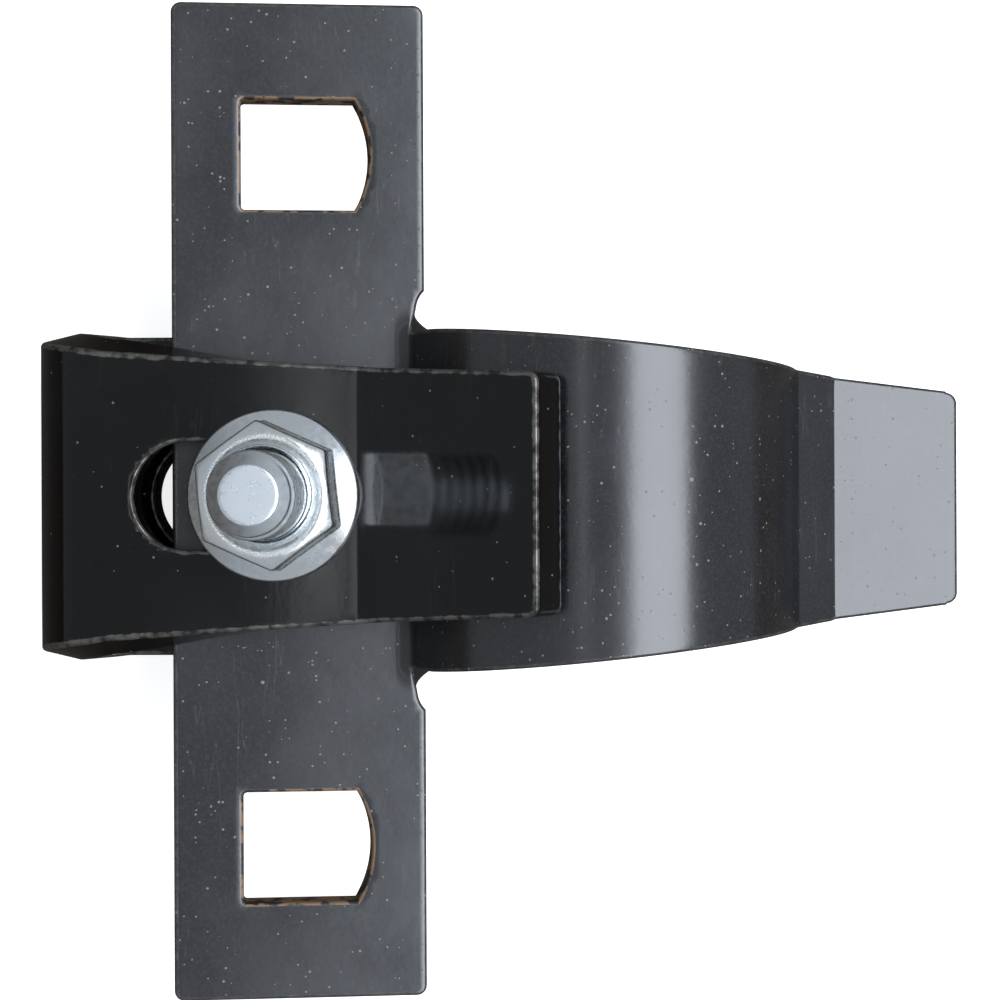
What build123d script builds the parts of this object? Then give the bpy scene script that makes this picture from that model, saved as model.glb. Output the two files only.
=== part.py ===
from build123d import *
import math
import os

# Coupler latch strap with a slotted clamp jaw, one flange bolt and one flange nut.
# Millimetres. X runs along the tongue, Y along the crossbar, Z up through the plates.
# The origin is midway between the two crossbar holes, on the underside of the crossbar.

# Steel plate that the strap and the jaw are bent from
plate = 6.35

# Latch strap: crossbar
crossbar_width = 38.1
crossbar_length = 150.5
crossbar_corner = 1.5
hole_spacing = 104.7
hole_centre_x = 1.1
hole_length = 19.4
hole_width = 16.7
hole_arc_rise = 2.3
bolt_hole_radius = 7.9

# Latch strap: arched tongue, tapering to a flat tab
saddle_radius = 24.0
saddle_x = 46.8
saddle_z = 1.5
root_bend = 3.0
toe_bend = 8.0
tongue_neck_half = 24.8
tongue_root_half = 25.6
tongue_mid_x = 61.0
tongue_mid_half = 21.2
tongue_tip_x = 102.0
tongue_tip_half = 16.4
tongue_corner = 1.7
notch_x = 21.9
notch_y = 28.9
notch_radius = 4.1

# Clamp jaw: a plate folded round the back edge of the crossbar, then up onto the arch. It sits
# a little to one side, with its bolt, in the play of the bolt hole
jaw_tilt = 9.0
jaw_seat = 16.2
jaw_gap = 11.4
jaw_side_shift = 0.8
jaw_fold_u = -25.0
jaw_lower_end_u = 13.5
heel_bend = 3.0
heel_bend_u = 13.0
heel_length = 29.6
jaw_tip_half = 17.3
jaw_fold_half = 21.25
jaw_lower_half = 24.6
jaw_corner = 1.5
slot_radius = 8.0
lower_slot_radius = 8.5
slot_back_u = -20.9
slot_front_u = 10.4

# Half-inch flange bolt and flange nut, 13 threads to the inch
bolt_radius = 6.35
bolt_length = 50.8
bolt_point = 2.3
hex_across_flats = 19.05
head_height = 9.2
nut_height = 12.0
nut_bore_radius = 6.43
nut_mouth_chamfer = 0.72
flange_radius = 12.7
flange_rim = 1.5
flange_rise = 3.4
hex_crown_drop = 2.2
hex_crown_share = 0.97
hex_turn = 36.0

# Gaps between pieces that move on each other
seat_gap = 0.05
contact_gap = 0.15


def radial(centre, radius, degrees):
    """Point at an angle on a circle, as a pair."""
    angle = math.radians(degrees)
    return (centre[0] + radius * math.cos(angle), centre[1] + radius * math.sin(angle))


# Arch of the tongue: both foot bends are tangent to the saddle circle and to the flat plate
saddle = (saddle_x, saddle_z)
arch_radius = saddle_radius + plate


def foot_bend(inside_radius, side):
    """Centre of a foot bend and its angle round the saddle, for side -1 (root) or +1 (toe)."""
    rise = plate + inside_radius - saddle_z
    run = math.sqrt((arch_radius + inside_radius) ** 2 - rise**2)
    centre = (saddle_x + side * run, plate + inside_radius)
    return centre, math.degrees(math.atan2(rise, side * run))


root_centre, root_angle = foot_bend(root_bend, -1)
toe_centre, toe_angle = foot_bend(toe_bend, 1)

# Frame of the jaw: u along its flat leg, n square to it, zero under the upper leg on the bolt axis
tilt = math.radians(jaw_tilt)
along = (math.cos(tilt), 0, math.sin(tilt))
normal = (-math.sin(tilt), 0, math.cos(tilt))
seat_x = -crossbar_width / 2 + jaw_seat * along[0] + contact_gap * normal[0]
seat_z = plate + jaw_seat * along[2] + contact_gap * normal[2]
jaw_seat_point = (seat_x, jaw_side_shift, seat_z)
jaw_side = Plane(origin=jaw_seat_point, x_dir=along, z_dir=(0, -1, 0))
jaw_top = Plane(origin=jaw_seat_point, x_dir=along, z_dir=normal)

# Rise of the heel: its underside is tangent to the arch, one contact gap away
heel_centre = (heel_bend_u, plate + heel_bend)
heel_x = seat_x + heel_centre[0] * along[0] + heel_centre[1] * normal[0] - saddle_x
heel_z = seat_z + heel_centre[0] * along[2] + heel_centre[1] * normal[2] - saddle_z
heel_reach = heel_bend + plate + arch_radius + contact_gap
heel_slope = math.atan2(heel_z, heel_x) - math.pi + math.asin(heel_reach / math.hypot(heel_x, heel_z))
heel_angle = math.degrees(heel_slope) - jaw_tilt

# Bolt axis: where its head bears under the lower leg, and where it crosses the crossbar
head_seat_n = -jaw_gap - plate - seat_gap
nut_seat_n = plate + seat_gap
hole_drop = (seat_z - plate / 2) / normal[2]
bolt_hole_x = seat_x - hole_drop * normal[0]

with BuildPart() as latch_strap:
    # Side profile of the tongue: flat at the crossbar, up over the saddle and down to the tab
    with BuildSketch(Plane.XZ):
        with BuildLine():
            Line((0, plate), (root_centre[0], plate))
            CenterArc(root_centre, root_bend, -90, root_angle - 90)
            CenterArc(saddle, arch_radius, root_angle, toe_angle - root_angle)
            CenterArc(toe_centre, toe_bend, 180 + toe_angle, 90 - toe_angle)
            Line((toe_centre[0], plate), (tongue_tip_x, plate))
            Line((tongue_tip_x, plate), (tongue_tip_x, 0))
            Line((tongue_tip_x, 0), (toe_centre[0], 0))
            CenterArc(toe_centre, toe_bend + plate, 270, toe_angle - 90)
            CenterArc(saddle, saddle_radius, toe_angle, root_angle - toe_angle)
            CenterArc(root_centre, root_bend + plate, root_angle - 180, 90 - root_angle)
            Line((root_centre[0], 0), (0, 0))
            Line((0, 0), (0, plate))
        make_face()
    extrude(amount=tongue_root_half, both=True)
    # Plan outline of the tongue: a neck through the bend, then an even taper to the tab
    with BuildSketch() as tongue_plan:
        with BuildLine():
            Line((notch_x, -tongue_root_half), (notch_x, tongue_root_half))
            ThreePointArc(
                (notch_x, tongue_root_half),
                (tongue_mid_x, tongue_mid_half),
                (tongue_tip_x, tongue_tip_half),
            )
            Line((tongue_tip_x, tongue_tip_half), (tongue_tip_x, -tongue_tip_half))
            ThreePointArc(
                (tongue_tip_x, -tongue_tip_half),
                (tongue_mid_x, -tongue_mid_half),
                (notch_x, -tongue_root_half),
            )
        make_face()
        fillet(tongue_plan.vertices().group_by(Axis.X)[-1], radius=tongue_corner)
        Rectangle(notch_x, tongue_neck_half * 2, align=(Align.MIN, Align.CENTER))
        with Locations((notch_x, notch_y), (notch_x, -notch_y)):
            Circle(notch_radius, mode=Mode.SUBTRACT)
    extrude(amount=plate + arch_radius, mode=Mode.INTERSECT)
    # Crossbar, open where the tongue bends away, with a round relief beside each end of the bend
    with BuildSketch():
        RectangleRounded(crossbar_width, crossbar_length, crossbar_corner)
        with Locations((root_centre[0], 0)):
            Rectangle(
                crossbar_width,
                tongue_neck_half * 2,
                align=(Align.MIN, Align.CENTER),
                mode=Mode.SUBTRACT,
            )
        with Locations((notch_x, notch_y), (notch_x, -notch_y)):
            Circle(notch_radius, mode=Mode.SUBTRACT)
    extrude(amount=plate)
    # Two holes, flat on three sides and bowed towards the tongue, and the round bolt hole
    with BuildSketch():
        for side in (-1, 1):
            with BuildLine():
                back = hole_centre_x - hole_length / 2
                shoulder = hole_centre_x + hole_length / 2 - hole_arc_rise
                near = side * hole_spacing / 2 - hole_width / 2
                far = near + hole_width
                Line((back, near), (shoulder, near))
                ThreePointArc((shoulder, near), (shoulder + hole_arc_rise, (near + far) / 2), (shoulder, far))
                Line((shoulder, far), (back, far))
                Line((back, far), (back, near))
            make_face()
        with Locations((bolt_hole_x, 0)):
            Circle(bolt_hole_radius)
    extrude(amount=plate, mode=Mode.SUBTRACT)

latch_strap.part.label = "latch_strap"

with BuildPart() as clamp_jaw:
    fold = (jaw_fold_u, -jaw_gap / 2)
    with BuildSketch(jaw_side):
        with BuildLine():
            Line((jaw_lower_end_u, -jaw_gap - plate), (jaw_fold_u, -jaw_gap - plate))
            CenterArc(fold, jaw_gap / 2 + plate, 270, -180)
            Line((jaw_fold_u, plate), (heel_bend_u, plate))
            CenterArc(heel_centre, heel_bend, 270, heel_angle)
            inner_end = radial(heel_centre, heel_bend, 270 + heel_angle)
            outer_end = radial(heel_centre, heel_bend + plate, 270 + heel_angle)
            tip_top = radial(inner_end, heel_length, heel_angle)
            tip_under = radial(outer_end, heel_length, heel_angle)
            Line(inner_end, tip_top)
            Line(tip_top, tip_under)
            Line(tip_under, outer_end)
            CenterArc(heel_centre, heel_bend + plate, 270 + heel_angle, -heel_angle)
            Line((heel_bend_u, 0), (jaw_fold_u, 0))
            CenterArc(fold, jaw_gap / 2, 90, 180)
            Line((jaw_fold_u, -jaw_gap), (jaw_lower_end_u, -jaw_gap))
            Line((jaw_lower_end_u, -jaw_gap), (jaw_lower_end_u, -jaw_gap - plate))
        make_face()
    extrude(amount=jaw_lower_half, both=True)
    # The upper leg and the heel narrow evenly from the fold to the tip
    with BuildSketch(jaw_top):
        for side in (-1, 1):
            with BuildLine():
                Polyline(
                    (jaw_fold_u, side * jaw_fold_half),
                    (tip_under[0], side * jaw_tip_half),
                    (tip_under[0] + plate, side * jaw_lower_half * 2),
                    (jaw_fold_u, side * jaw_lower_half * 2),
                    close=True,
                )
            make_face()
    extrude(amount=heel_length, mode=Mode.SUBTRACT)
    # The fold widens from the upper leg to the lower leg, so its sides lean outwards
    with BuildSketch(Plane(origin=jaw_top.origin, x_dir=(0, 1, 0), z_dir=along)) as fold_sides:
        for side in (-1, 1):
            with BuildLine():
                Polyline(
                    (side * jaw_fold_half, plate),
                    (side * jaw_lower_half, -jaw_gap / 2 - plate),
                    (side * jaw_lower_half * 2, -jaw_gap / 2 - plate),
                    (side * jaw_lower_half * 2, plate),
                    close=True,
                )
            make_face()
    extrude(fold_sides.sketch, amount=jaw_fold_u * 2, mode=Mode.SUBTRACT)
    # Slots through both legs
    slot_centre = (slot_back_u + slot_front_u) / 2
    slot_length = slot_front_u - slot_back_u
    with BuildSketch(jaw_top):
        with Locations((slot_centre, 0)):
            SlotOverall(slot_length, slot_radius * 2)
    extrude(amount=plate, mode=Mode.SUBTRACT)
    with BuildSketch(jaw_top.offset(-jaw_gap)):
        with Locations((slot_centre, 0)):
            SlotOverall(slot_length, lower_slot_radius * 2)
    extrude(amount=-plate, mode=Mode.SUBTRACT)
    tip_corners = clamp_jaw.edges().filter_by(Axis.Y, reverse=True).sort_by(Axis.X)[-2:]
    fillet(tip_corners, radius=jaw_corner)

clamp_jaw.part.label = "clamp_jaw"


def hex_with_flange(seat_n, direction, height):
    """Hexagon on a conical flange, bearing on the plane at seat_n and standing off in direction."""
    seat = jaw_top.offset(seat_n)
    base = Plane(origin=seat.origin, x_dir=along, z_dir=Vector(*normal) * direction)
    section = Plane(origin=seat.origin, x_dir=along, z_dir=(0, -1, 0))
    half_flats = hex_across_flats / 2
    with BuildPart() as piece:
        with BuildSketch(base):
            RegularPolygon(half_flats, 6, major_radius=False, rotation=hex_turn)
        extrude(amount=height)
        # Cone that takes the corners off the outer end of the hexagon
        with BuildSketch(section):
            with BuildLine():
                Polyline(
                    (0, 0),
                    (hex_across_flats, 0),
                    (hex_across_flats, direction * (height - hex_crown_drop * 3)),
                    (half_flats * hex_crown_share, direction * height),
                    (0, direction * height),
                    close=True,
                )
            make_face()
        revolve(axis=Axis(base.origin, base.z_dir), mode=Mode.INTERSECT)
        # Flange
        with BuildSketch(section):
            with BuildLine():
                Polyline(
                    (0, 0),
                    (flange_radius, 0),
                    (flange_radius, direction * flange_rim),
                    (half_flats, direction * flange_rise),
                    (0, direction * flange_rise),
                    close=True,
                )
            make_face()
        revolve(axis=Axis(base.origin, base.z_dir))
    return piece.part


with BuildPart() as flange_nut:
    add(hex_with_flange(nut_seat_n, 1, nut_height))
    with BuildSketch(jaw_top.offset(nut_seat_n)):
        Circle(nut_bore_radius)
    extrude(amount=nut_height, mode=Mode.SUBTRACT)
    mouths = flange_nut.edges().filter_by(GeomType.CIRCLE).sort_by(SortBy.RADIUS)[:2]
    chamfer(mouths, length=nut_mouth_chamfer)

flange_nut.part.label = "flange_nut"

with BuildPart() as flange_bolt:
    add(hex_with_flange(head_seat_n, -1, head_height))
    with BuildSketch(jaw_top.offset(head_seat_n)):
        Circle(bolt_radius)
    extrude(amount=bolt_length)
    chamfer(flange_bolt.faces().sort_by(Axis.Z)[-1].edges(), length=bolt_point)

flange_bolt.part.label = "flange_bolt"

os.makedirs("parts", exist_ok=True)
for piece in (latch_strap, clamp_jaw, flange_bolt, flange_nut):
    export_step(piece.part, f"parts/{piece.part.label}.step")
print("bolt axis under the upper leg at", round(seat_x, 4), round(seat_z, 4), "heel rises", round(heel_angle, 3))
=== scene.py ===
# %% [markdown]
# # A coupler latch strap, with its clamp jaw, bolt and nut
#
# The object is four pieces of steel: a T-shaped strap, a jaw folded from the same plate,
# a half-inch flange bolt and its flange nut. The strap and the jaw are black enamel,
# the bolt and the nut are zinc plated. We load the measured frame first, and keep its
# overall box, which sets the height of the floor.

import math

import bpy
import numpy as np
from mathutils import Matrix, Vector
from mathutils.geometry import delaunay_2d_cdt


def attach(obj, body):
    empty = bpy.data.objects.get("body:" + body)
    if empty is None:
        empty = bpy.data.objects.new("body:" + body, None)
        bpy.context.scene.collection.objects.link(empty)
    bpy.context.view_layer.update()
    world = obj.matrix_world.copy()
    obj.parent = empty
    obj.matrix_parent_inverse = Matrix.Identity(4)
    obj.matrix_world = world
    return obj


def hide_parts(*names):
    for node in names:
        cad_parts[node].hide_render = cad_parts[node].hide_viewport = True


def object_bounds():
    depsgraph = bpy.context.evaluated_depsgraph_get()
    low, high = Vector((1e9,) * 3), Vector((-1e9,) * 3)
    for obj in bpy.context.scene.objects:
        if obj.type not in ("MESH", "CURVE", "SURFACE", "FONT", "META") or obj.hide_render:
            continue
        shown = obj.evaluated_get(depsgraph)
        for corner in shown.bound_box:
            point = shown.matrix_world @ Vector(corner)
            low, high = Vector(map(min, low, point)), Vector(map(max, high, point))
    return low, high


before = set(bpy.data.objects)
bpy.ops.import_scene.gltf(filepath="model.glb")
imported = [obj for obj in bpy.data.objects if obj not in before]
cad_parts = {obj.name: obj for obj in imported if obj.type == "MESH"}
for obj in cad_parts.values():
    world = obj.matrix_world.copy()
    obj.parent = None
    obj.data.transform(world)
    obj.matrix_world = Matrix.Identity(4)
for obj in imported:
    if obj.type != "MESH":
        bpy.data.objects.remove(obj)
cad_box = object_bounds()

# %% [markdown]
# ## Sizes
#
# Every size is in metres, and written as millimetres times MM. X runs along the tongue,
# Y along the crossbar, and Z up through the plates. The jaw leans on the strap, so it
# has its own frame: u along its upper leg, n square to it, with zero under that leg on
# the axis of the bolt.

# %% Sizes of the plate pieces
MM = 0.001
PLATE = 6.35 * MM
RIM = 0.55 * MM

CROSSBAR_WIDTH = 38.1 * MM
CROSSBAR_LENGTH = 150.5 * MM
CROSSBAR_CORNER = 1.5 * MM
HOLE_SPACING = 104.7 * MM
HOLE_CENTRE_X = 1.1 * MM
HOLE_LENGTH = 19.4 * MM
HOLE_WIDTH = 16.7 * MM
HOLE_ARC_RISE = 2.3 * MM
BOLT_HOLE_RADIUS = 7.9 * MM
BOLT_HOLE_X = -2.15 * MM
SADDLE_RADIUS = 24.0 * MM
SADDLE_X, SADDLE_Z = 46.8 * MM, 1.5 * MM
ROOT_BEND = 3.0 * MM
TOE_BEND = 8.0 * MM
TOE_TOP_BEND, TOE_CREASE_BEND = 1.6 * MM, 0.9 * MM
NOTCH_X, NOTCH_Y, NOTCH_RADIUS = 21.9 * MM, 28.9 * MM, 4.1 * MM
TONGUE_HALVES = ((21.9 * MM, 25.6 * MM), (61.0 * MM, 21.2 * MM), (102.0 * MM, 16.4 * MM))
TONGUE_CORNER = 1.7 * MM

JAW_TILT = math.radians(9.0)
JAW_SEAT_X, JAW_SEAT_Y, JAW_SEAT_Z = -3.0729 * MM, 0.8 * MM, 9.0324 * MM
JAW_GAP = 11.4 * MM
FOLD_U = -25.0 * MM
LOWER_END_U = 13.5 * MM
HEEL_BEND_U = 13.0 * MM
HEEL_BEND = 3.0 * MM
HEEL_ANGLE = math.radians(33.432)
HEEL_LENGTH = 29.6 * MM
JAW_TIP_HALF, JAW_FOLD_HALF, JAW_LOWER_HALF = 17.3 * MM, 21.25 * MM, 24.6 * MM
JAW_CORNER = 1.5 * MM
SLOT_RADIUS, LOWER_SLOT_RADIUS = 8.0 * MM, 8.5 * MM
SLOT_BACK_U, SLOT_FRONT_U = -20.9 * MM, 10.4 * MM
print("plate", PLATE, "jaw leans", math.degrees(JAW_TILT))

# %% [markdown]
# ## A bent line
#
# Seen from the side, a bent plate is a band round a line of straights and arcs. If the
# heading turns evenly by k per metre, then after a distance d the point is one chord
# away: its length is d sin(kd/2) / (kd/2), and it points half the turn further round.
# With numpy's sinc the same formula holds for a straight, where k is zero.

# %% Walk along a bent line
def walk(legs, start, heading, s):
    """Point (x, z) and heading at distances s along legs of (length, turn).

    Chord = d * sinc(k d / 2 pi), in the direction heading + k d / 2, with k = turn / length."""
    lengths = np.array([leg[0] for leg in legs])
    bends = np.array([leg[1] for leg in legs]) / lengths
    firsts = np.concatenate([[0.0], np.cumsum(lengths)[:-1]])
    angles = heading + np.concatenate([[0.0], np.cumsum(bends * lengths)[:-1]])
    chords = lengths * np.sinc(bends * lengths / (2 * np.pi))
    middles = angles + bends * lengths / 2
    xs = start[0] + np.concatenate([[0.0], np.cumsum(chords * np.cos(middles))[:-1]])
    zs = start[1] + np.concatenate([[0.0], np.cumsum(chords * np.sin(middles))[:-1]])
    leg = np.clip(np.searchsorted(firsts, s, side="right") - 1, 0, len(legs) - 1)
    d = s - firsts[leg]
    chord = d * np.sinc(bends[leg] * d / (2 * np.pi))
    middle = angles[leg] + bends[leg] * d / 2
    x = xs[leg] + chord * np.cos(middle)
    z = zs[leg] + chord * np.sin(middle)
    return x, z, angles[leg] + bends[leg] * d


quarter = walk(((0.01 * math.pi / 2, math.pi / 2),), (0, 0), 0, np.array([0.01 * math.pi / 2]))
print("end of a quarter circle of radius 10 mm", quarter[0], quarter[1])

# %% [markdown]
# ## Outlines on the flat blank
#
# Sheet metal starts flat. We draw each blank as a closed outline with its holes, in the
# flat coordinates (s, y): s along the plate's middle line, and y across it. Material is
# always on the left of an outline, so the outer one runs counter-clockwise and the
# holes run clockwise.

# %% Outline helpers
STEP = 0.55 * MM


def arc(centre, radius, first, last):
    """Points on a circle from one angle to another, in degrees, about STEP apart."""
    count = max(4, math.ceil(abs(math.radians(last - first)) * radius / STEP) + 1)
    angle = np.radians(np.linspace(first, last, count))
    return np.stack([centre[0] + radius * np.cos(angle), centre[1] + radius * np.sin(angle)], 1)


def straight(first, last):
    """Points between two ends, without the ends, about STEP apart."""
    count = max(2, math.ceil(math.dist(first, last) / STEP))
    share = np.arange(1, count)[:, None] / count
    return np.array(first) * (1 - share) + np.array(last) * share


def closed(*runs):
    """One closed outline from runs of points, each joined to the next by an even straight."""
    parts = []
    for run, following in zip(runs, runs[1:] + runs[:1]):
        parts.append(run)
        if math.dist(run[-1], following[0]) > STEP:
            parts.append(straight(run[-1], following[0]))
    return np.concatenate(parts)


def inset(loop, distance):
    """The outline moved to its left: each point goes along the mitre of its two edges,
    2 m / |m|^2 times the distance, where m adds the unit normals of both edges."""
    ahead = np.roll(loop, -1, 0) - loop
    ahead /= np.linalg.norm(ahead, axis=1)[:, None]
    both = ahead + np.roll(ahead, 1, 0)
    mitre = np.stack([-both[:, 1], both[:, 0]], 1)
    return loop + distance * 2 * mitre / (mitre**2).sum(1)[:, None]


def inside(points, loops):
    """True where a ray to the right crosses the outlines an odd number of times."""
    odd = np.zeros(len(points), bool)
    for loop in loops:
        (ax, ay), (bx, by) = loop.T, np.roll(loop, -1, 0).T
        x, y = points[:, 0:1], points[:, 1:2]
        level = np.where(by == ay, 1.0, by - ay)
        crosses = ((ay > y) != (by > y)) & (x < ax + (y - ay) * (bx - ax) / level)
        odd ^= crosses.sum(1) % 2 == 1
    return odd


def nearest(points, others):
    """Distance from each point to the closest of the others."""
    best = np.full(len(points), 1.0)
    for block in np.array_split(others, max(1, len(others) // 300)):
        gap = points[:, None, :] - block[None, :, :]
        best = np.minimum(best, np.sqrt((gap**2).sum(2)).min(1))
    return best


print("points on a ring of radius 8 mm:", len(arc((0, 0), 8 * MM, 0, 360)))

# %% [markdown]
# ## From blank to plate
#
# The plate is one closed surface: a top face, a matching underside, and a rounded rim
# carried round every outline and hole. The faces are filled with a grid of points and
# joined up by Delaunay triangles. Each point keeps its distance to the nearest cut
# edge, which the paint uses later, because enamel wears first along the edges.

# %% Make a mesh from arrays
def solid(name, points, triangles, quads, **values):
    """A smooth-shaded mesh object from whole arrays, with one named number per point for each extra array."""
    mesh = bpy.data.meshes.new(name)
    corners = np.concatenate([triangles.ravel(), quads.ravel()]).astype(np.int32)
    sizes = np.concatenate([np.full(len(triangles), 3), np.full(len(quads), 4)])
    mesh.vertices.add(len(points))
    mesh.vertices.foreach_set("co", points.astype(np.float32).ravel())
    mesh.loops.add(len(corners))
    mesh.loops.foreach_set("vertex_index", corners)
    mesh.polygons.add(len(sizes))
    mesh.polygons.foreach_set("loop_start", (np.cumsum(sizes) - sizes).astype(np.int32))
    mesh.update(calc_edges=True)
    for label, value in values.items():
        layer = mesh.attributes.new(label, "FLOAT", "POINT")
        layer.data.foreach_set("value", value.astype(np.float32))
    mesh.shade_smooth()
    piece = bpy.data.objects.new(name, mesh)
    bpy.context.scene.collection.objects.link(piece)
    print(name, len(points), "points", len(triangles) + 2 * len(quads), "triangles")
    return piece


# %% Carry a rounded rim round a blank and bend it
RIM_STEPS = 4
WALL_STEPS = 5


def plate_piece(name, loops, columns, rows, bend):
    """A bent plate: bend(s, y, h) gives the place of blank point (s, y) at height h above the underside.

    The rim's ring number k lies RIM (1 - sin a) inside the outline and RIM (1 - cos a) below the top,
    with a from 0 to 90 degrees, then come rings down the wall, and the same rim from the underside."""
    faces = [inset(loop, RIM) for loop in loops]
    grid = np.stack(np.meshgrid(columns, rows), 2).reshape(-1, 2)
    grid = grid[inside(grid, faces)]
    border = np.concatenate(faces)
    grid = grid[nearest(grid, border) > 0.6 * STEP]
    flat = np.concatenate([border, grid])
    ends = np.cumsum([len(loop) for loop in faces])
    rings = [np.arange(end - len(loop), end) for loop, end in zip(faces, ends)]
    edges = np.concatenate([np.stack([ring, np.roll(ring, -1)], 1) for ring in rings])
    scaled = [Vector(p) for p in (flat / MM).tolist()]
    out = delaunay_2d_cdt(scaled, edges.tolist(), [], 0, 1e-5, False)
    if len(out[0]) != len(flat):
        raise ValueError(f"{name}: the outlines touch each other")
    triangles = np.array(out[2], int)
    triangles = triangles[inside(flat[triangles].mean(1), faces)]
    total = len(flat)
    turn = np.radians(np.linspace(0, 90, RIM_STEPS + 1))[1:]
    depths = RIM * (1 - np.sin(turn))
    drops = RIM * (1 - np.cos(turn))
    walls = np.linspace(PLATE - RIM, RIM, WALL_STEPS + 2)[1:-1]
    depths = np.concatenate([depths, walls * 0, depths[::-1]])
    heights = np.concatenate([PLATE - drops, walls, drops[::-1]])
    clear = np.clip(PLATE / 2 - RIM - np.abs(heights - PLATE / 2), 0, None)
    blank = [np.c_[flat, np.full(total, PLATE)], np.c_[flat, np.zeros(total)]]
    from_edge = np.clip(nearest(flat, border), 0, None)
    wear = [from_edge, from_edge]
    hole = [np.zeros(total), np.zeros(total)]
    quads = []
    count = 2 * total
    for number, (loop, ring) in enumerate(zip(loops, rings)):
        size = len(loop)
        for depth, height, away in zip(depths, heights, clear):
            blank.append(np.c_[inset(loop, depth), np.full(size, height)])
            wear.append(np.full(size, away))
            hole.append(np.full(size, float(number)))
        side = count + np.arange(len(depths) * size).reshape(len(depths), size)
        table = np.concatenate([ring[None], side, ring[None] + total])
        after = np.roll(table, -1, 1)
        quads.append(np.stack([table[:-1], table[1:], after[1:], after[:-1]], 2).reshape(-1, 4))
        count += side.size
    blank = np.concatenate(blank)
    points = bend(blank[:, 0], blank[:, 1], blank[:, 2])
    both = np.concatenate([triangles, triangles[:, ::-1] + total])
    return solid(
        name,
        points,
        both,
        np.concatenate(quads),
        edge_distance=np.concatenate(wear) / MM,
        hole_wall=np.concatenate(hole),
    )


# %% [markdown]
# ## The latch strap
#
# The strap is a flat crossbar with a tongue that is bent up, over a saddle that sits on
# the trailer's ball clamp, and down to a flat tab. Two round notches stop the plate from
# tearing where the bend ends. Between the notches the tongue follows its bent line, and
# outside them the crossbar stays flat. In between, the metal is drawn from one shape to
# the other, which leaves the small valley seen beside each notch.
#
# At the toe the press left a short flat facet between two tight bends. It takes the
# place of one round bend: both bends turn by half, and the facet lies on its chord.

# %% Side line of the strap
ARCH_RADIUS = SADDLE_RADIUS + PLATE


def foot(bend_radius, side):
    """X of a foot bend's centre, and its angle round the saddle: both arcs touch, so the
    centres are ARCH_RADIUS + bend_radius apart."""
    rise = PLATE + bend_radius - SADDLE_Z
    run = math.sqrt((ARCH_RADIUS + bend_radius) ** 2 - rise**2)
    return SADDLE_X + side * run, math.atan2(rise, side * run)


root_x, root_angle = foot(ROOT_BEND, -1)
toe_x, toe_angle = foot(TOE_BEND, 1)
STRAP_BACK = -CROSSBAR_WIDTH / 2
toe_turn = math.pi / 2 - toe_angle
toe_top, toe_crease = TOE_TOP_BEND + PLATE / 2, TOE_CREASE_BEND + PLATE / 2
quarter_tan = math.tan(toe_turn / 4)
toe_lead = toe_top * quarter_tan
toe_facet = 2 * ((TOE_BEND + PLATE / 2) * math.tan(toe_turn / 2) - toe_lead) * math.cos(toe_turn / 2)
strap_legs = (
    (root_x - STRAP_BACK, 0.0),
    ((ROOT_BEND + PLATE / 2) * (root_angle - math.pi / 2), root_angle - math.pi / 2),
    ((ARCH_RADIUS - PLATE / 2) * (root_angle - toe_angle), toe_angle - root_angle),
    (toe_top * toe_turn / 2, toe_turn / 2),
    (toe_facet - toe_lead - toe_crease * quarter_tan, 0.0),
    (toe_crease * toe_turn / 2, toe_turn / 2),
    (TONGUE_HALVES[2][0] - toe_x + toe_lead - toe_crease * quarter_tan, 0.0),
)
strap_knots = STRAP_BACK + np.concatenate([[0.0], np.cumsum([leg[0] for leg in strap_legs])])
strap_end = strap_knots[-1]
print("blank of the tongue ends at s =", round(strap_end / MM, 2), "mm")


def strap_line(s):
    """Middle line of the tongue at blank distance s, which equals x on the crossbar."""
    return walk(strap_legs, (STRAP_BACK, PLATE / 2), 0.0, s - STRAP_BACK)


def tongue_half(s):
    """Half width of the tongue: a parabola in x through its three measured half widths."""
    x = np.clip(strap_line(s)[0], TONGUE_HALVES[0][0], None)
    return np.polyval(np.polyfit(*np.array(TONGUE_HALVES).T, 2), x)


# %% Bend of the strap
DRAWN_FROM, DRAWN_TO = 24.9 * MM, 29.4 * MM


def bend_strap(s, y, h):
    """Bent place in the middle, flat place outside the notches, and a smooth share between them:
    share = t^2 (3 - 2t), with t growing from DRAWN_FROM to DRAWN_TO."""
    x, z, angle = strap_line(s)
    lift = h - PLATE / 2
    bent = np.stack([x - lift * np.sin(angle), y, z + lift * np.cos(angle)], 1)
    flat = np.stack([s, y, h], 1)
    t = np.clip((np.abs(y) - DRAWN_FROM) / (DRAWN_TO - DRAWN_FROM), 0, 1)
    share = (t * t * (3 - 2 * t) * (s < strap_knots[2]))[:, None]
    return bent * (1 - share) + flat * share


# %% Blank of the strap
def bowed_hole(centre_y):
    """Crossbar hole, clockwise: flat on three sides and bowed towards the tongue.
    The bow is an arc through the two shoulders, of radius (w^2 / 4 + rise^2) / (2 rise)."""
    back = HOLE_CENTRE_X - HOLE_LENGTH / 2
    front = HOLE_CENTRE_X + HOLE_LENGTH / 2
    radius = (HOLE_WIDTH**2 / 4 + HOLE_ARC_RISE**2) / (2 * HOLE_ARC_RISE)
    spread = math.degrees(math.asin(HOLE_WIDTH / 2 / radius))
    bow = arc((front - radius, centre_y), radius, spread, -spread)
    low = arc((back + RIM, centre_y - HOLE_WIDTH / 2 + RIM), RIM, 270, 180)
    high = arc((back + RIM, centre_y + HOLE_WIDTH / 2 - RIM), RIM, 180, 90)
    return closed(bow, low, high)


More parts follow.
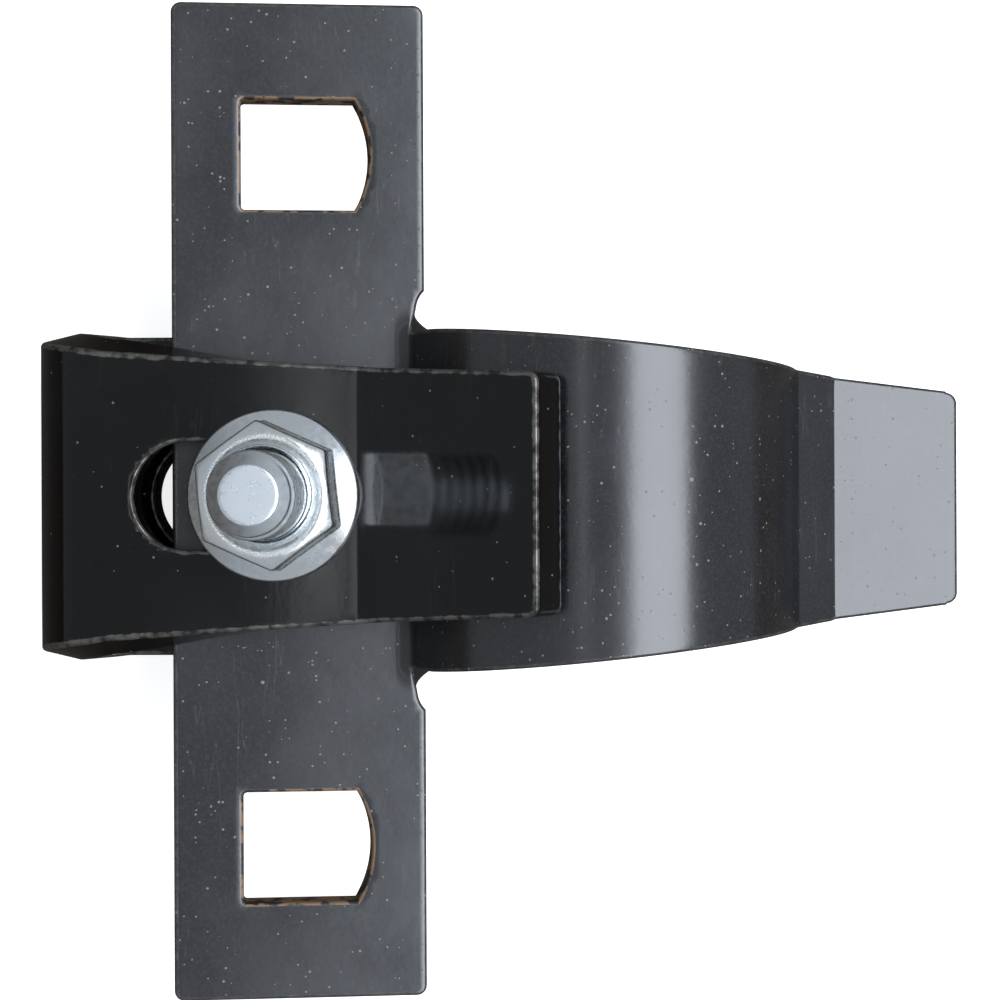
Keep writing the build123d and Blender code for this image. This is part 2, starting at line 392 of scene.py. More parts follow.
half_bar, bar_end = CROSSBAR_WIDTH / 2, CROSSBAR_LENGTH / 2
corner = CROSSBAR_CORNER
notch_open = math.degrees(math.acos((half_bar - NOTCH_X) / NOTCH_RADIUS))
notch_shut = math.degrees(math.asin((NOTCH_Y - TONGUE_HALVES[0][1]) / NOTCH_RADIUS))
notch_end = NOTCH_X - math.sqrt(NOTCH_RADIUS**2 - (NOTCH_Y - TONGUE_HALVES[0][1]) ** 2)
side_s = np.arange(notch_end + STEP, strap_end - TONGUE_CORNER, STEP)
side_y = tongue_half(side_s)
tip_y = float(tongue_half(np.array([strap_end]))[0])
tongue_side = np.stack([side_s, side_y], 1)
mirrored = np.array([1.0, -1.0])
notch = arc((NOTCH_X, NOTCH_Y), NOTCH_RADIUS, 180 + notch_shut, notch_open)
tip_corner = arc((strap_end - TONGUE_CORNER, tip_y - TONGUE_CORNER), TONGUE_CORNER, 4, 86)
bar_corner = arc((half_bar - corner, bar_end - corner), corner, 0, 90)
strap_outline = closed(
    bar_corner,
    arc((-half_bar + corner, bar_end - corner), corner, 90, 180),
    arc((-half_bar + corner, -bar_end + corner), corner, 180, 270),
    (bar_corner * mirrored)[::-1],
    (notch * mirrored)[::-1],
    tongue_side * mirrored,
    (tip_corner * mirrored)[::-1],
    tip_corner,
    tongue_side[::-1],
    notch,
)
bolt_hole = arc((BOLT_HOLE_X, 0), BOLT_HOLE_RADIUS, 360, 0)[:-1]
strap_loops = [strap_outline, bowed_hole(HOLE_SPACING / 2), bowed_hole(-HOLE_SPACING / 2), bolt_hole]


def spaced(knots, steps):
    """Grid lines between knots, with about one step between lines in each interval."""
    runs = [np.arange(a, b - s / 2, s) for a, b, s in zip(knots[:-1], knots[1:], steps)]
    return np.concatenate(runs)


strap_columns = spaced(strap_knots, np.array([1.0, 0.35, 0.8, 0.3, 0.7, 0.25, 1.1]) * MM)
strap_rows = spaced(
    np.array([-bar_end, -NOTCH_Y - 2 * MM, -22 * MM, 22 * MM, NOTCH_Y + 2 * MM, bar_end]),
    np.array([1.3, 0.6, 1.3, 0.6, 1.3]) * MM,
)
strap = plate_piece("latch_strap_plate", strap_loops, strap_columns, strap_rows, bend_strap)

# %% [markdown]
# ## The clamp jaw
#
# The jaw is a second strip of the same plate. It is folded round the back edge of the
# crossbar, slotted through both legs for the bolt, and its front end is bent up so that
# it bears on the arch of the strap. It is wide at the lower leg and narrows towards the
# tip, so its sides can be seen from above round the fold.

# %% Side line of the jaw
HEEL_BLEND = 2.6 * MM
heel_radius = HEEL_BEND + PLATE / 2 + HEEL_BLEND
heel_tangent = HEEL_BLEND * math.tan(HEEL_ANGLE / 2)
fold_radius = (JAW_GAP + PLATE) / 2
FOLD_SPREAD, FOLD_FADE = 0.125, 16.0 * MM
jaw_legs = (
    (LOWER_END_U - FOLD_U, 0.0),
    (fold_radius * math.pi, -math.pi),
    (HEEL_BEND_U - FOLD_U - heel_tangent, 0.0),
    (heel_radius * HEEL_ANGLE, HEEL_ANGLE),
    (HEEL_LENGTH - heel_tangent, 0.0),
)
jaw_knots = np.concatenate([[0.0], np.cumsum([leg[0] for leg in jaw_legs])])
jaw_end = jaw_knots[-1]
print("blank of the jaw is", round(jaw_end / MM, 1), "mm long")


def jaw_line(s):
    """Middle line of the jaw from the end of its lower leg, in its own frame (u, n)."""
    return walk(jaw_legs, (LOWER_END_U, -JAW_GAP - PLATE / 2), math.pi, s)


def round_fold(s):
    """0 on the lower leg, 1 on the upper leg, and evenly between them round the fold."""
    return np.clip((s - jaw_knots[1]) / (jaw_knots[2] - jaw_knots[1]), 0, 1)


def jaw_half(s):
    """Half width of the outer face: even on the lower leg, narrower towards the top of the fold as t^1.7,
    then a straight taper in u."""
    u = jaw_line(s)[0]
    tip_u = float(jaw_line(np.array([jaw_end]))[0][0])
    taper = JAW_FOLD_HALF + (JAW_TIP_HALF - JAW_FOLD_HALF) * (u - FOLD_U) / (tip_u - FOLD_U)
    folded = JAW_LOWER_HALF + (JAW_FOLD_HALF - JAW_LOWER_HALF) * round_fold(s) ** 1.7
    return np.where(s < jaw_knots[2], folded, taper)


def jaw_place(u, y, n):
    """Part frame point of the jaw frame point (u, y, n)."""
    cos, sin = math.cos(JAW_TILT), math.sin(JAW_TILT)
    return np.stack([JAW_SEAT_X + u * cos - n * sin, JAW_SEAT_Y + y, JAW_SEAT_Z + u * sin + n * cos], -1)


def bend_jaw(s, y, h):
    """The jaw's middle line, thickened along its normal (-sin, cos) of the heading.

    Round the fold the outside is stretched and the inside is squeezed, so the inside spreads sideways
    by FOLD_SPREAD of its width, less and less beyond the fold: the side face leans outwards."""
    u, n, angle = jaw_line(s)
    lift = h - PLATE / 2
    beyond = np.clip(s - jaw_knots[2], 0, None)
    squeeze = FOLD_SPREAD * round_fold(s) * np.exp(-((beyond / FOLD_FADE) ** 2))
    y = y * (1 + squeeze * (1 - h / PLATE))
    return jaw_place(u - lift * np.sin(angle), y, n + lift * np.cos(angle))


# %% Blank of the jaw
def slot_loop(first, last, radius):
    """Clockwise slot between blank distances first and last, with round ends."""
    back = arc((first + radius, 0), radius, 270, 90)
    front = arc((last - radius, 0), radius, 90, -90)
    return closed(back, front)


side_s = np.arange(JAW_CORNER, jaw_end - JAW_CORNER, STEP)
jaw_side = np.stack([side_s, jaw_half(side_s)], 1)
jaw_front = arc((jaw_end - JAW_CORNER, JAW_TIP_HALF - JAW_CORNER), JAW_CORNER, 4, 86)
jaw_back = arc((JAW_CORNER, JAW_LOWER_HALF - JAW_CORNER), JAW_CORNER, 94, 176)
jaw_outline = closed(
    (jaw_front * mirrored)[::-1],
    jaw_front,
    jaw_side[::-1],
    jaw_back,
    (jaw_back * mirrored)[::-1],
    jaw_side * mirrored,
)
upper_slot = jaw_knots[2] - FOLD_U + np.array([SLOT_BACK_U, SLOT_FRONT_U])
lower_slot = LOWER_END_U - np.array([SLOT_FRONT_U, SLOT_BACK_U])
jaw_loops = [
    jaw_outline,
    slot_loop(*upper_slot, SLOT_RADIUS),
    slot_loop(*lower_slot, LOWER_SLOT_RADIUS),
]
jaw_columns = spaced(jaw_knots, np.array([1.2, 0.5, 1.0, 0.35, 1.0]) * MM)
jaw_rows = spaced(np.array([-JAW_LOWER_HALF, JAW_LOWER_HALF]), np.array([1.2]) * MM)
jaw = plate_piece("clamp_jaw_plate", jaw_loops, jaw_columns, jaw_rows, bend_jaw)

# %% [markdown]
# ## The bolt and the nut
#
# Both are turned shapes with a hexagon, so each is a grid of angle by profile. At each
# angle the hexagon's flat is (half the width across flats) / cos(angle from the middle
# of that flat) away from the axis, and the cone that takes off its corners starts
# wherever it meets that distance. A thread is the same radius moved along the axis by
# one pitch in each turn.

# %% Sizes of the bolt and the nut
BOLT_RADIUS = 6.35 * MM
BOLT_SEAT_N, BOLT_TIP_N = -17.80 * MM, 33.0 * MM
BOLT_POINT = 2.3 * MM
THREAD_FROM_N = 1.2 * MM
PITCH = 25.4 / 13 * MM
THREAD_DEPTH = 0.62 * MM
HALF_FLATS = 9.525 * MM
HEX_TURN = math.radians(36.0)
HEAD_HEIGHT, NUT_HEIGHT = 9.2 * MM, 12.0 * MM
NUT_SEAT_N = 6.4 * MM
NUT_BORE = 6.43 * MM
FLANGE_RADIUS, FLANGE_RIM, FLANGE_RISE = 12.7 * MM, 1.5 * MM, 3.4 * MM
CROWN_RADIUS = 8.85 * MM
COUNTERSINK_RADIUS = 7.35 * MM
CROWN_SLOPE = 0.62
FLANGE_SEAT_STEP = 1.2 * MM
HEX_SHARPNESS = 90
EDGE_EASE = 0.35 * MM
MOUTH_CHAMFER = 0.72 * MM
DISH = ((7.4 * MM, 0.0), (6.9 * MM, 0.35 * MM), (1.0 * MM, 0.35 * MM))
POINT = ((0.0, 0.06 * MM), (0.12 * MM, 0.01 * MM), (0.3 * MM, 0.0), (2.0 * MM, 0.0), (3.4 * MM, 0.0))


def hexagon(angle):
    """Distance from the axis to a hexagon with slightly round corners: the reciprocal of the
    p-norm of cos(angle - flat) / half flats over the six flats."""
    flats = HEX_TURN + np.radians(30 + 60 * np.arange(6))
    facing = np.clip(np.cos(angle[:, None] - flats), 0, None) / HALF_FLATS
    return (facing**HEX_SHARPNESS).sum(1) ** (-1 / HEX_SHARPNESS)


def thread(angle, n):
    """Share of the thread's depth, 0 on the crest and 1 in the root, on a right-hand helix."""
    phase = (n / PITCH - angle / (2 * np.pi)) % 1
    t = np.clip((np.abs(2 * phase - 1) - 0.1) / 0.75, 0, 1)
    return t * t * (3 - 2 * t)


print("corner to corner", round(2 * float(hexagon(np.array([HEX_TURN]))[0]) / MM, 2), "mm")


# %% Profile helpers
def even(value, angle):
    """The same number at every angle."""
    return np.full(len(angle), value) if np.isscalar(value) else value


def eased(profile, radius):
    """Each inner corner of a profile becomes three points of a parabola that touches both sides."""
    ahead, behind = profile[2:] - profile[1:-1], profile[:-2] - profile[1:-1]
    far, near = np.linalg.norm(ahead, axis=2), np.linalg.norm(behind, axis=2)
    cut = np.minimum(radius, 0.42 * np.minimum(far, near))
    start = profile[1:-1] + behind * (cut / near)[..., None]
    end = profile[1:-1] + ahead * (cut / far)[..., None]
    middle = 0.25 * start + 0.5 * profile[1:-1] + 0.25 * end
    inner = np.stack([start, middle, end], 1).reshape(-1, *profile.shape[1:])
    return np.concatenate([profile[:1], inner, profile[-1:]])


def hex_profile(angle, height):
    """Radius and height of a flange with a hexagon on it, from the flange's seat to its crown."""
    reach = hexagon(angle)
    cone = FLANGE_RIM + (FLANGE_RADIUS - reach) * (FLANGE_RISE - FLANGE_RIM) / (FLANGE_RADIUS - HALF_FLATS)
    shoulder = height - (reach - CROWN_RADIUS) * CROWN_SLOPE
    rows = (
        (FLANGE_RADIUS - FLANGE_SEAT_STEP, 0.0),
        (FLANGE_RADIUS, 0.0),
        (FLANGE_RADIUS, FLANGE_RIM),
        (reach, cone),
        (reach, shoulder),
        (CROWN_RADIUS, height),
        (COUNTERSINK_RADIUS, height),
    )
    return np.stack([np.stack([even(r, angle), even(z, angle)], 1) for r, z in rows])


def turned(name, profile, angle, poles):
    """A closed surface from a grid (profile, angle) of (r, n): the first and last rows meet each other,
    or, with poles, each closes on a point of the axis."""
    radius, n = profile[..., 0], profile[..., 1]
    points = jaw_place(radius * np.cos(angle), radius * np.sin(angle), n).reshape(-1, 3)
    table = np.arange(radius.size).reshape(radius.shape)
    triangles = np.zeros((0, 3), int)
    if poles:
        zero = np.zeros(2)
        ends = jaw_place(zero, zero, np.array([n[0, 0], n[-1, 0]]))
        points = np.concatenate([points, ends])
        first, last = table[0], table[-1]
        low, high = np.full(len(angle), radius.size), np.full(len(angle), radius.size + 1)
        triangles = np.concatenate(
            [np.stack([low, np.roll(first, -1), first], 1), np.stack([high, last, np.roll(last, -1)], 1)]
        )
    else:
        table = np.concatenate([table, table[:1]])
    after = np.roll(table, -1, 1)
    quads = np.stack([table[:-1], after[:-1], after[1:], table[1:]], 2).reshape(-1, 4)
    return solid(name, points, triangles, quads)


# %% Turn the nut
nut_angle = HEX_TURN + np.radians(np.arange(0, 360, 1.5))
nut_outside = eased(hex_profile(nut_angle, NUT_HEIGHT), EDGE_EASE)
bore_rows = np.arange(NUT_HEIGHT - 0.95 * MM, 0.6 * MM, -PITCH / 8)
bore = np.stack(
    [
        np.stack([NUT_BORE + THREAD_DEPTH * (1 - thread(nut_angle, n + NUT_SEAT_N)), even(n, nut_angle)], 1)
        for n in bore_rows
    ]
)
mouth = np.stack([np.stack([even(NUT_BORE + MOUTH_CHAMFER, nut_angle), even(0.0, nut_angle)], 1)])
nut_profile = np.concatenate([nut_outside, bore, mouth])
nut_profile[..., 1] += NUT_SEAT_N
nut = turned("flange_nut_turned", nut_profile, nut_angle, poles=False)

# %% Turn the bolt
bolt_angle = HEX_TURN + np.radians(np.arange(0, 360, 3.0))
head = hex_profile(bolt_angle, HEAD_HEIGHT)[:-1]
dish = np.stack(
    [
        np.stack([even(r, bolt_angle), even(HEAD_HEIGHT - d, bolt_angle)], 1)
        for r, d in DISH
    ]
)
head = eased(np.concatenate([head, dish]), EDGE_EASE)[::-1]
head[..., 1] = BOLT_SEAT_N - head[..., 1]
plain_n = np.array([BOLT_SEAT_N, BOLT_SEAT_N + 0.3 * MM, THREAD_FROM_N - PITCH])
thread_n = np.arange(THREAD_FROM_N - PITCH, BOLT_TIP_N, PITCH / 12)[1:]


def shank(n):
    """Radius of the shank: plain, then threaded, and never outside the cone of the point."""
    fade = np.clip((n - THREAD_FROM_N + PITCH) / PITCH, 0, 1)
    cut = BOLT_RADIUS - 0.02 * MM - THREAD_DEPTH * fade * thread(bolt_angle, n)
    return np.minimum(cut, BOLT_RADIUS - max(0.0, n - (BOLT_TIP_N - BOLT_POINT)))


shank_rows = np.stack(
    [np.stack([shank(n), even(n, bolt_angle)], 1) for n in np.concatenate([plain_n, thread_n])]
)
tip = np.stack(
    [
        np.stack([even(BOLT_RADIUS - BOLT_POINT - r, bolt_angle), even(BOLT_TIP_N - d, bolt_angle)], 1)
        for r, d in POINT
    ]
)
bolt = turned("flange_bolt_turned", np.concatenate([head, shank_rows, tip]), bolt_angle, poles=True)

# %% [markdown]
# ## Node helpers
#
# Materials here are small graphs. One helper adds a node, sets its options and fills
# or links its sockets, so each graph reads from the texture to the shader.

# %% Node helpers
def node(tree, kind, inputs=None, **settings):
    """A new node in a tree. Inputs go by socket name or number, as a value or as a socket to link."""
    made = tree.nodes.new(kind)
    for label, value in settings.items():
        setattr(made, label, value)
    for key, value in (inputs or {}).items():
        if isinstance(value, bpy.types.NodeSocket):
            tree.links.new(value, made.inputs[key])
        else:
            made.inputs[key].default_value = value
    return made


def math_node(tree, operation, *values):
    """Output of a Math node."""
    return node(tree, "ShaderNodeMath", dict(enumerate(values)), operation=operation).outputs[0]


def ramp(tree, value, low, high, start=0.0, end=1.0):
    """Output that goes smoothly from start to end as value goes from low to high."""
    made = node(
        tree,
        "ShaderNodeMapRange",
        {"Value": value, "From Min": low, "From Max": high, "To Min": start, "To Max": end},
        interpolation_type="SMOOTHSTEP",
    )
    return made.outputs["Result"]


def mixed(tree, share, first, second):
    """Colour between first and second."""
    made = node(tree, "ShaderNodeMix", {"Factor": share}, data_type="RGBA")
    for key, value in ((6, first), (7, second)):
        if isinstance(value, bpy.types.NodeSocket):
            tree.links.new(value, made.inputs[key])
        else:
            made.inputs[key].default_value = value
    return made.outputs[2]


def group(name, inputs, outputs):
    """An empty shader node group with number inputs, a vector first, and named outputs."""
    tree = bpy.data.node_groups.new(name, "ShaderNodeTree")
    tree.interface.new_socket("Vector", in_out="INPUT", socket_type="NodeSocketVector")
    for label in inputs:
        tree.interface.new_socket(label, in_out="INPUT", socket_type="NodeSocketFloat")
    for label in outputs:
        tree.interface.new_socket(label, in_out="OUTPUT", socket_type="NodeSocketFloat")
    return tree, tree.nodes.new("NodeGroupInput").outputs, tree.nodes.new("NodeGroupOutput").inputs


def placed(tree, made_group, vector, **inputs):
    """Outputs of a group put into a material, with its own values."""
    made = node(tree, "ShaderNodeGroup", node_tree=made_group)
    tree.links.new(vector, made.inputs["Vector"])
    for label, value in inputs.items():
        if isinstance(value, bpy.types.NodeSocket):
            tree.links.new(value, made.inputs[label])
        else:
            made.inputs[label].default_value = value
    return made.outputs


# %% [markdown]
# ## Dust, peel, wear and scratches
#
# Sprayed enamel is never even. Dust that settled while it dried makes tiny pale specks,
# the film itself has a soft orange peel, handling leaves fine scratches, and along the
# cut edges it is thin and rubs through. Each effect is a group, shared by both plates.

# %% Group: specks of dust
specks, given, wanted = group("dust_specks", ("Scale", "Share", "Size"), ("Mask",))
cells = node(specks, "ShaderNodeTexVoronoi", {"Vector": given["Vector"], "Scale": given["Scale"]})
chance = node(specks, "ShaderNodeSeparateColor", {0: cells.outputs["Color"]}).outputs
chosen = math_node(specks, "LESS_THAN", chance[0], given["Share"])
spot = math_node(specks, "MULTIPLY", given["Size"], chance[1])
shape = ramp(specks, math_node(specks, "SUBTRACT", spot, cells.outputs["Distance"]), 0.0, 0.08)
specks.links.new(math_node(specks, "MULTIPLY", chosen, shape), wanted["Mask"])

# %% Group: orange peel and grain
peel, given, wanted = group("enamel_peel", ("Coarse", "Fine"), ("Height",))
wide = node(peel, "ShaderNodeTexNoise", {"Vector": given["Vector"], "Scale": given["Coarse"], "Detail": 2.0})
tight = node(peel, "ShaderNodeTexNoise", {"Vector": given["Vector"], "Scale": given["Fine"], "Detail": 3.0})
half_tight = math_node(peel, "MULTIPLY", tight.outputs[0], 0.4)
peel.links.new(math_node(peel, "ADD", wide.outputs[0], half_tight), wanted["Height"])

# %% Group: enamel worn through along cut edges
edge_wear, given, wanted = group("edge_wear", ("Distance", "Reach", "Scale"), ("Mask",))
ragged = node(
    edge_wear, "ShaderNodeTexNoise", {"Vector": given["Vector"], "Scale": given["Scale"], "Detail": 5.0}
)
limit = math_node(edge_wear, "MULTIPLY", ramp(edge_wear, ragged.outputs[0], 0.30, 0.75), given["Reach"])
near_edge = math_node(edge_wear, "SUBTRACT", limit, given["Distance"])
edge_wear.links.new(ramp(edge_wear, near_edge, -0.05, 0.25), wanted["Mask"])

# %% Group: fine scratches
scratches, given, wanted = group("fine_scratches", ("Scale", "Share"), ("Mask",))
stretch = {"Vector": given["Vector"], "Scale": (1.0, 0.06, 1.0), "Rotation": (0, 0, 0.5)}
drawn = node(scratches, "ShaderNodeMapping", stretch)
lines = node(
    scratches, "ShaderNodeTexNoise", {"Vector": drawn.outputs[0], "Scale": given["Scale"], "Detail": 2.0}
)
thin = math_node(scratches, "ABSOLUTE", math_node(scratches, "SUBTRACT", lines.outputs[0], 0.5))
patchy = node(scratches, "ShaderNodeTexNoise", {"Vector": given["Vector"], "Scale": 60.0, "Detail": 2.0})
there = math_node(scratches, "LESS_THAN", patchy.outputs[0], given["Share"])
scratch = math_node(scratches, "MULTIPLY", ramp(scratches, thin, 0.012, 0.0), there)
scratches.links.new(scratch, wanted["Mask"])
print("node groups", [tree.name for tree in bpy.data.node_groups])

# %% [markdown]
# ## Black enamel
#
# Both plates have the same black enamel, but the jaw has a wetter, smoother coat that
# mirrors the nut, and the strap is duller and dustier. So one function makes both, with
# the differences as numbers.

# %% Enamel material
BARE_STEEL = (0.20, 0.19, 0.17, 1)
DUST = (0.36, 0.33, 0.27, 1)
GRAIN = (0.026, 0.026, 0.032, 1)
CUT_BROWN = (0.22, 0.13, 0.065, 1)
CHAR = (0.012, 0.009, 0.008, 1)


def enamel(name, deep, pale, ior, gloss, matt, dust, grained, wear, lined, bare_holes, peel_depth):
    """Black enamel between two tones, with roughness from gloss to matt in clouds."""
    material = bpy.data.materials.new(name)
    material.use_nodes = True
    tree = material.node_tree
    shader = tree.nodes["Principled BSDF"]
    place = node(tree, "ShaderNodeTexCoord").outputs["Object"]
    edge = node(tree, "ShaderNodeAttribute", attribute_name="edge_distance").outputs["Fac"]
    hole = node(tree, "ShaderNodeAttribute", attribute_name="hole_wall").outputs["Fac"]
    clouds = node(tree, "ShaderNodeTexNoise", {"Vector": place, "Scale": 45.0, "Detail": 5.0}).outputs[0]
    grain = node(tree, "ShaderNodeTexNoise", {"Vector": place, "Scale": 2300.0, "Detail": 2.0}).outputs[0]
    small = placed(tree, specks, place, Scale=1700.0, Share=dust, Size=0.38)["Mask"]
    large = placed(tree, specks, place, Scale=700.0, Share=dust * 0.25, Size=0.26)["Mask"]
    dusty = math_node(tree, "MAXIMUM", small, large)
    worn = placed(tree, edge_wear, place, Distance=edge, Reach=wear, Scale=700.0)["Mask"]
    lines = placed(tree, scratches, place, Scale=420.0, Share=0.44)["Mask"]
    tone = mixed(tree, ramp(tree, clouds, 0.35, 0.7), deep, pale)
    tone = mixed(tree, ramp(tree, grain, 0.42, 0.72, 0.0, grained), tone, GRAIN)
    tone = mixed(tree, math_node(tree, "MULTIPLY", lines, lined), tone, DUST)
    tone = mixed(tree, math_node(tree, "MULTIPLY", dusty, 0.45), tone, DUST)
    tone = mixed(tree, math_node(tree, "MULTIPLY", worn, 0.8), tone, BARE_STEEL)
    past_outline = ramp(tree, hole, 0.5, 0.9)
    cut = math_node(tree, "MULTIPLY", past_outline, ramp(tree, hole, bare_holes + 0.4, bare_holes + 0.2))
    chips = node(tree, "ShaderNodeTexNoise", {"Vector": place, "Scale": 520.0, "Detail": 4.0}).outputs[0]
    raw = mixed(tree, ramp(tree, chips, 0.5, 0.56), CUT_BROWN, CHAR)
    tone = mixed(tree, cut, tone, raw)
    dull = ramp(tree, clouds, 0.3, 0.75, gloss, matt)
    rough = dull
    for mask, amount in ((dusty, 0.6), (lines, matt), (cut, 0.6)):
        rough = math_node(tree, "MAXIMUM", rough, math_node(tree, "MULTIPLY", mask, amount))
    film = placed(tree, peel, place, Coarse=330.0, Fine=1500.0)["Height"]
    raised = math_node(tree, "ADD", film, math_node(tree, "MULTIPLY", dusty, 0.8))
    relief = math_node(tree, "SUBTRACT", raised, math_node(tree, "MULTIPLY", worn, 0.5))
    bump = node(tree, "ShaderNodeBump", {"Height": relief, "Strength": 1.0, "Distance": peel_depth})
    tree.links.new(tone, shader.inputs["Base Color"])
    tree.links.new(rough, shader.inputs["Roughness"])
    tree.links.new(math_node(tree, "MULTIPLY", worn, 0.6), shader.inputs["Metallic"])
    tree.links.new(bump.outputs[0], shader.inputs["Normal"])
    shader.inputs["IOR"].default_value = ior
    print("made", name)
    return material


strap_enamel = enamel(
    "black_enamel_strap",
    deep=(0.0055, 0.0053, 0.0058, 1),
    pale=(0.013, 0.0125, 0.0135, 1),
    ior=1.80,
    gloss=0.20,
    matt=0.27,
    dust=0.10,
    grained=0.60,
    wear=0.10,
    lined=0.05,
    bare_holes=2,
    peel_depth=0.000016,
)
jaw_enamel = enamel(
    "black_enamel_jaw",
    deep=(0.0020, 0.0019, 0.0018, 1),
    pale=(0.0042, 0.0040, 0.0040, 1),
    ior=1.44,
    gloss=0.09,
    matt=0.14,
    dust=0.025,
    grained=0.06,
    wear=0.30,
    lined=0.02,
    bare_holes=0,
    peel_depth=0.000006,
)

# %% [markdown]
# ## Bright zinc
#
# Zinc plating with a clear passivate is a silvery metal with a faint blue and yellow
# play. It is nearly a mirror, softened by the fine turning marks left by the tool and
# by a bit of bloom.

# %% Zinc material
def zinc(name, blue, warm, gloss, matt):
    """Plated steel between two tints, with fine marks in its roughness and relief."""
    material = bpy.data.materials.new(name)
    material.use_nodes = True
    tree = material.node_tree
    shader = tree.nodes["Principled BSDF"]
    place = node(tree, "ShaderNodeTexCoord").outputs["Object"]
    tint = node(tree, "ShaderNodeTexNoise", {"Vector": place, "Scale": 130.0, "Detail": 3.0}).outputs[0]
    marks = node(tree, "ShaderNodeTexNoise", {"Vector": place, "Scale": 900.0, "Detail": 4.0}).outputs[0]
    pits = placed(tree, specks, place, Scale=1100.0, Share=0.05, Size=0.3)["Mask"]
    tone = mixed(tree, ramp(tree, tint, 0.30, 0.75), blue, warm)
    tone = mixed(tree, math_node(tree, "MULTIPLY", pits, 0.25), tone, (0.25, 0.25, 0.27, 1))
    raised, sunk = (math_node(tree, "MULTIPLY", mask, 0.5) for mask in (marks, pits))
    relief = math_node(tree, "SUBTRACT", raised, sunk)
    bump = node(tree, "ShaderNodeBump", {"Height": relief, "Strength": 1.0, "Distance": 0.000006})
    tree.links.new(tone, shader.inputs["Base Color"])
    tree.links.new(ramp(tree, marks, 0.3, 0.7, gloss, matt), shader.inputs["Roughness"])
    tree.links.new(bump.outputs[0], shader.inputs["Normal"])
    shader.inputs["Metallic"].default_value = 1.0
    print("made", name)
    return material


nut_zinc = zinc("bright_zinc_nut", (0.90, 0.96, 1.0, 1), (0.97, 0.97, 0.92, 1), 0.20, 0.32)
bolt_zinc = zinc("bright_zinc_bolt", (0.88, 0.95, 1.0, 1), (0.93, 0.96, 0.98, 1), 0.26, 0.36)

# %% [markdown]
# ## Put the pieces on their bodies
#
# Each new piece stands for one node of the frame, rides on that node's body and gets
# its own material, and the node itself is hidden.

# %% Ride, replace and finish
for piece, material, body, cad_node, finish in (
    (strap, strap_enamel, "strap", "latch_strap", "black_paint_strap"),
    (jaw, jaw_enamel, "jaw", "clamp_jaw", "black_paint_jaw"),
    (bolt, bolt_zinc, "bolt", "flange_bolt", "zinc_bolt"),
    (nut, nut_zinc, "nut", "flange_nut", "zinc_nut"),
):
    piece.data.materials.append(material)
    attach(piece, body)
    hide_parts(cad_node)
    print(piece.name, "rides on", body)

# %% [markdown]
# ## Floor, light and camera
#
# The object lies on a pale table, with weak light all round. One broad soft light ahead
# of the tongue makes the bright band on the arch and the shine on the tab. A dim panel
# beside it softens the band's edge, and a narrow strip behind the crossbar shines in the
# upper leg of the jaw and the bolt's end. The camera looks almost straight down, from a
# little behind the crossbar, so the jaw's fold and the tops of the plates are seen together.

# %% Floor
FLOOR_GAP = 0.2 * MM
FLOOR_SIZE = 4.0
floor_z = cad_box[0][2] - FLOOR_GAP
floor_points = np.array([[-1, -1, 0], [1, -1, 0], [1, 1, 0], [-1, 1, 0]]) * FLOOR_SIZE / 2
floor = solid("pale_floor", floor_points + [0, 0, floor_z], np.zeros((0, 3), int), np.array([[0, 1, 2, 3]]))
pale = bpy.data.materials.new("pale_table")
pale.use_nodes = True
table_shader = pale.node_tree.nodes["Principled BSDF"]
table_place = node(pale.node_tree, "ShaderNodeTexCoord").outputs["Object"]
table_noise = node(pale.node_tree, "ShaderNodeTexNoise", {"Vector": table_place, "Scale": 25.0}).outputs[0]
table_tone = mixed(pale.node_tree, table_noise, (0.90, 0.90, 0.90, 1), (0.93, 0.93, 0.93, 1))
seen = node(pale.node_tree, "ShaderNodeLightPath").outputs["Is Camera Ray"]
table_tone = mixed(pale.node_tree, seen, (0.10, 0.085, 0.07, 1), table_tone)
pale.node_tree.links.new(table_tone, table_shader.inputs["Base Color"])
own_light = math_node(pale.node_tree, "MULTIPLY", seen, 0.8)
pale.node_tree.links.new(own_light, table_shader.inputs["Emission Strength"])
table_shader.inputs["Roughness"].default_value = 0.9
table_shader.inputs["Specular IOR Level"].default_value = 0.0
table_shader.inputs["Emission Color"].default_value = (1, 1, 1, 1)
floor.data.materials.append(pale)

# %% Lights
OBJECT_CENTRE = np.array([0.035, 0.0, 0.01])


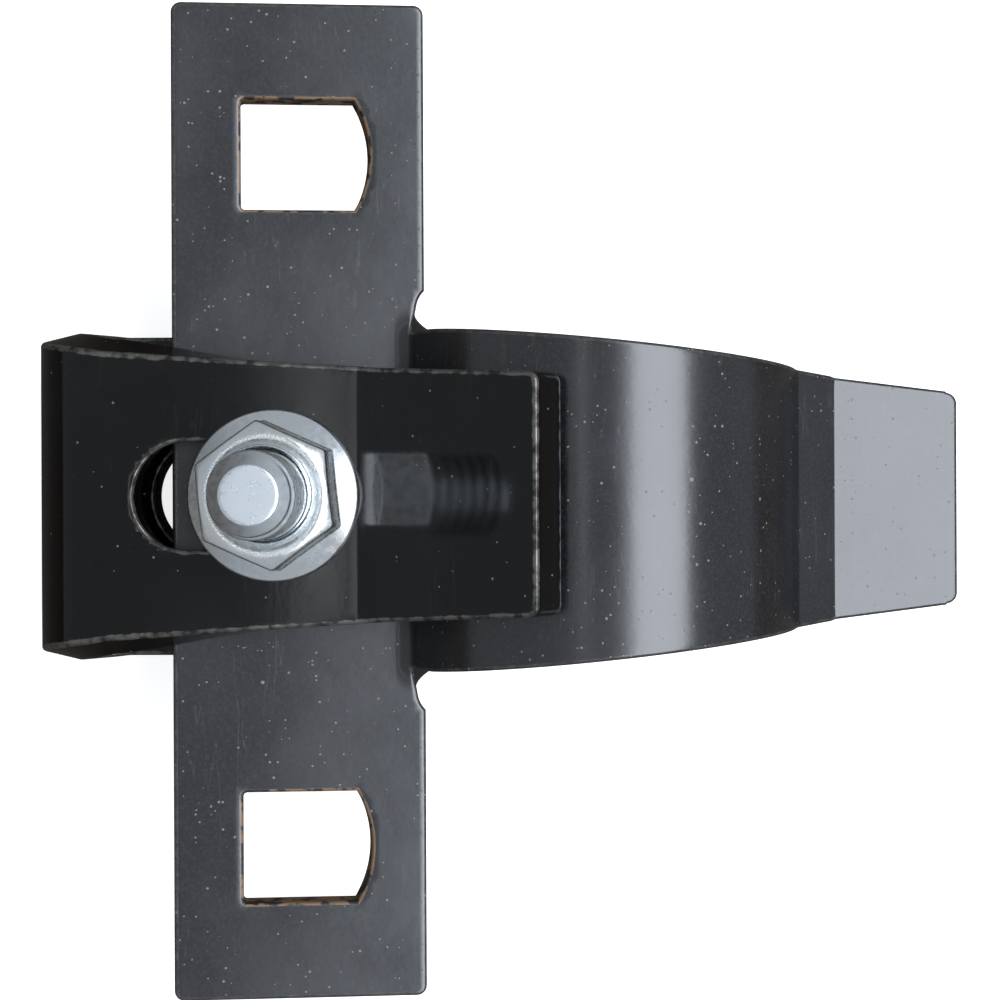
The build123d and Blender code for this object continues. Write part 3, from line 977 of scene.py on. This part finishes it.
def panel(name, lean, distance, span, watts, colour):
    """A rectangular soft light, lean degrees from overhead towards +X, that faces the object.
    Its side span[0] lies in the XZ plane, and its side span[1] lies along Y."""
    light = bpy.data.lights.new(name, "AREA")
    light.shape = "RECTANGLE"
    light.size, light.size_y = span
    light.energy = watts
    light.color = colour
    made = bpy.data.objects.new(name, light)
    bpy.context.scene.collection.objects.link(made)
    a = math.radians(lean)
    away = np.array([math.sin(a), 0, math.cos(a)])
    axes = np.stack([[math.cos(a), 0, -math.sin(a)], [0, 1, 0], away], 1)
    place = Matrix.Translation(Vector((OBJECT_CENTRE + away * distance).tolist()))
    made.matrix_world = place @ Matrix(axes.tolist()).to_4x4()
    return made


panel("key_panel", 25.6, 0.75, (0.43, 1.1), 7.9, (0.86, 0.91, 1.0))
panel("glow_panel", 6.8, 0.75, (0.08, 1.1), 0.32, (0.78, 0.86, 1.0))
panel("strip_light", -17.9, 0.76, (0.014, 0.9), 0.16, (0.9, 0.95, 1.0))
world = bpy.data.worlds.new("soft_room")
bpy.context.scene.world = world
world.use_nodes = True
world.node_tree.nodes["Background"].inputs["Color"].default_value = (0.86, 0.92, 1.0, 1)
world.node_tree.nodes["Background"].inputs["Strength"].default_value = 0.40
bpy.context.scene.view_settings.view_transform = "Standard"

# %% Camera
VIEW_LEAN, VIEW_ROLL = math.radians(6.2), math.radians(0.25)
VIEW_DISTANCE = 393 * MM
VIEW_SHIFT = 30.3 * MM
LENS = 93.6
across = np.array([math.cos(VIEW_LEAN), 0, math.sin(VIEW_LEAN)])
back = np.array([-math.sin(VIEW_LEAN), 0, math.cos(VIEW_LEAN)])
sideways = np.array([0.0, 1.0, 0.0])
right = math.cos(VIEW_ROLL) * across - math.sin(VIEW_ROLL) * sideways
up = math.sin(VIEW_ROLL) * across + math.cos(VIEW_ROLL) * sideways
aim = np.array([0, 0, PLATE]) + VIEW_SHIFT * across
eye = aim + VIEW_DISTANCE * back
camera_data = bpy.data.cameras.new("view_camera")
camera_data.lens = LENS
camera_data.sensor_width = 36.0
camera = bpy.data.objects.new("view_camera", camera_data)
bpy.context.scene.collection.objects.link(camera)
turn = Matrix(np.stack([right, up, back], 1).tolist()).to_4x4()
camera.matrix_world = Matrix.Translation(Vector(eye.tolist())) @ turn
bpy.context.scene.camera = camera
print("camera at", np.round(eye / MM, 1), "mm")
